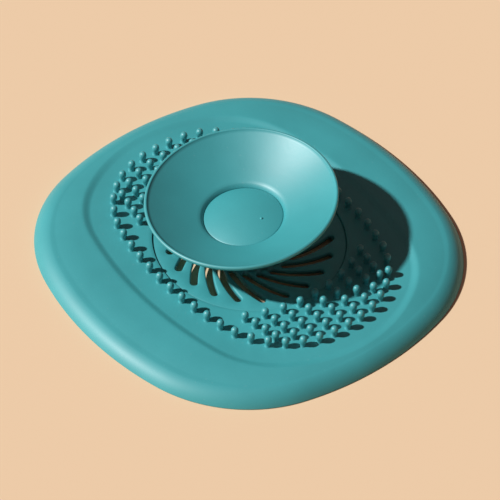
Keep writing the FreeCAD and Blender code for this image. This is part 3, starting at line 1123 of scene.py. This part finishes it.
@dataclass
class PressStem:
    """The domed press pad with its moulding nib, its shank and the barb that keeps it in the hub.

    The pad's side and bow are shares of its rounding, and the nib's profile has shares of its radius.
    """

    pad_radius: float = 15.0
    pad_press: float = 0.17
    pad_underside: float = 15.76
    pad_edge: float = 16.6
    pad_round: float = 0.5
    pad_side: float = 0.9
    pad_bow: float = 0.2
    pad_rings: int = 6
    dome: float = 2.54
    dome_rings: int = 16
    crown_gap: float = 0.4
    shank_radius: float = 5.0
    tip_chamfer: Corner = (0.6, 0.3)
    barb_radius: float = 7.0
    barb_bottom: float = 0.5
    barb_side: float = 1.5
    barb_shoulder: Corner = (0.15, 0.2)
    barb_top: float = 2.0
    barb_chamfer: float = 0.1
    nib_place: Corner = (6.85, 3.3)
    nib_radius: float = 0.5
    nib_profile: tuple[Corner, ...] = ((1.3, -0.1), (1.1, 0.1), (0.85, 0.3), (0.4, 0.42))
    nib_sides: int = 12
    sides: int = 128
    crease: float = 40.0
    nib_crease: float = 60.0
    lean: Lean = Lean()
    finish: RubberFinish = RubberFinish("pad_satin_rubber", roughness=0.52)

    def shank_profile(self) -> list[Corner]:
        """List the upright shank's section from the barb's tip up into the pad.

        Returns:
            The corners, none of them on the axis.
        """
        return [
            (self.shank_radius - self.tip_chamfer[0], self.barb_bottom),
            (self.shank_radius, self.barb_bottom + self.tip_chamfer[1]),
            (self.barb_radius - self.barb_shoulder[0], self.barb_side),
            (self.barb_radius, self.barb_side + self.barb_shoulder[1]),
            (self.barb_radius, self.barb_top - self.barb_chamfer),
            (self.barb_radius - self.barb_chamfer, self.barb_top),
            (self.shank_radius, self.barb_top),
            (self.shank_radius, self.pad_edge),
        ]

    def pad_profile(self) -> list[Corner]:
        """List the pad's section from its underside round the edge to the crown.

        Returns:
            The corners, none of them on the axis.
        """
        reach = self.pad_radius + self.pad_press
        brink = reach - self.pad_round
        side = (reach, self.pad_edge - self.pad_round * self.pad_side)
        bow = self.pad_round * self.pad_bow
        edge = bowed(side, (brink, self.pad_level(brink)), bow, self.pad_rings)
        inward = self.crown_gap - brink
        radii = [brink + inward * step / self.dome_rings for step in range(1, self.dome_rings + 1)]
        underside = [(self.shank_radius, self.pad_underside), (reach, self.pad_underside)]
        return underside + edge + [(radius, self.pad_level(radius)) for radius in radii]

    def pad_level(self, reach: float) -> float:
        """Work out the dome's height at a distance from the axis."""
        radius = (self.pad_radius ** 2 + self.dome ** 2) / (2 * self.dome)
        return self.pad_edge + self.dome - radius + math.sqrt(radius ** 2 - reach ** 2)

    def nib(self) -> bpy.types.Object:
        """Model the small nib that the mould's gate leaves on the pad.

        Returns:
            The nib, in place.
        """
        level = self.pad_level(math.hypot(*self.nib_place))
        profile = [(self.nib_radius * share, height) for share, height in self.nib_profile]
        nib = Bench.lathe("nib", profile, self.nib_sides)
        Bench.smooth(nib, self.nib_crease)
        nib.location = (self.nib_place[0] * MM, self.nib_place[1] * MM, level * MM)
        return nib

    def build(self) -> None:
        """Model and dress the stem."""
        pad = Bench.lathe("pad", self.pad_profile(), self.sides)
        Bench.smooth(pad, self.crease)
        pad = Bench.join([pad, self.nib()], "pad")
        self.lean.apply(pad)
        shank = Bench.lathe("shank", self.shank_profile(), self.sides)
        Bench.smooth(shank, self.crease)
        stem = Bench.join([pad, shank], "press_pad")
        dress(stem, self.finish, Body.STOPPER, Slot.CUP, "press_stem")


# Studio

def direction(heading: float, height: float) -> Vector:
    """Point along a heading, from +X towards +Y, and up at an angle above the ground.

    Args:
        heading: The heading, in radians.
        height: The angle above the ground, in radians.

    Returns:
        A vector of length one.
    """
    level = math.cos(height)
    return Vector((math.cos(heading) * level, math.sin(heading) * level, math.sin(height)))


@dataclass
class Studio:
    """The floor, the light and the camera.

    The floor is in metres, the lamp's angles are in degrees, the camera's angles in radians, and its
    distance and shifts in millimetres.
    """

    floor_size: float = 3.0
    floor_level: float = -0.00015
    sun_heading: float = -121.5
    sun_height: float = 41.0
    sun_strength: float = 4.35
    sun_angle: float = 2.4
    fill: Colour = (0.13, 0.078, 0.072)
    backdrop: Colour = (0.86, 0.62, 0.41)
    distance: float = 1400.0
    focal_pixels: float = 3690.0
    height: float = 0.806
    heading: float = 0.836
    roll: float = 0.063
    shift_right: float = 0.38
    shift_down: float = 0.65
    sensor: float = 36.0
    far_clip: float = 100.0

    def build(self) -> None:
        """Set up the floor, the light and the camera."""
        self.lay_floor()
        self.light()
        self.aim()
        bpy.context.scene.view_settings.view_transform = "Standard"

    def lay_floor(self) -> None:
        """Lay the pale floor."""
        Bench.clear()
        bpy.ops.mesh.primitive_plane_add(size=self.floor_size, location=(0, 0, self.floor_level))
        floor = bpy.context.object
        floor.name = "pale_floor"
        floor.data.materials.append(FloorFinish().material())

    def light(self) -> None:
        """Hang one large lamp to the left and fill the shadows from all round."""
        lamp = bpy.data.lights.new("key_lamp", "SUN")
        lamp.energy = self.sun_strength
        lamp.angle = math.radians(self.sun_angle)
        key = bpy.data.objects.new("key_lamp", lamp)
        towards = direction(math.radians(self.sun_heading), math.radians(self.sun_height))
        key.rotation_mode = "QUATERNION"
        key.rotation_quaternion = towards.to_track_quat("Z", "Y")
        bpy.context.scene.collection.objects.link(key)
        world = bpy.data.worlds.new("studio")
        bpy.context.scene.world = world
        tree = ShaderTree(world)
        seen = tree.node("ShaderNodeLightPath", None, None, "Is Camera Ray")
        fill = tree.node("ShaderNodeBackground", None, {"Color": (*self.fill, 1)})
        backdrop = tree.node("ShaderNodeBackground", None, {"Color": (*self.backdrop, 1)})
        mix = tree.node("ShaderNodeMixShader", None, {0: seen, 1: fill, 2: backdrop})
        tree.node("ShaderNodeOutputWorld", None, {"Surface": mix})

    def aim(self) -> None:
        """Aim the camera at the photograph's angle."""
        back = direction(self.heading - QUARTER, self.height)
        level_right = Vector((math.cos(self.heading), math.sin(self.heading), 0))
        level_up = back.cross(level_right)
        right = level_right * math.cos(self.roll) + level_up * math.sin(self.roll)
        up = level_up * math.cos(self.roll) - level_right * math.sin(self.roll)
        place = (back * self.distance + right * self.shift_right - up * self.shift_down) * MM
        lens = bpy.data.cameras.new("camera")
        lens.sensor_fit = "HORIZONTAL"
        lens.sensor_width = self.sensor
        lens.lens = self.focal_pixels / IMAGE_WIDTH * self.sensor
        lens.clip_end = self.far_clip
        camera = bpy.data.objects.new("camera", lens)
        camera.matrix_world = Matrix((
            (right.x, up.x, back.x, place.x),
            (right.y, up.y, back.y, place.y),
            (right.z, up.z, back.z, place.z),
            (0, 0, 0, 1),
        ))
        bpy.context.scene.collection.objects.link(camera)
        bpy.context.scene.camera = camera


def main() -> None:
    """Build the studio and the pieces in order."""
    logging.basicConfig(level=logging.INFO)
    for assembly in (Studio(), DrainMat(), HairPegs(), StrainerPlate(), StopperCup(), PressStem()):
        assembly.build()


if __name__ == "__main__":
    main()
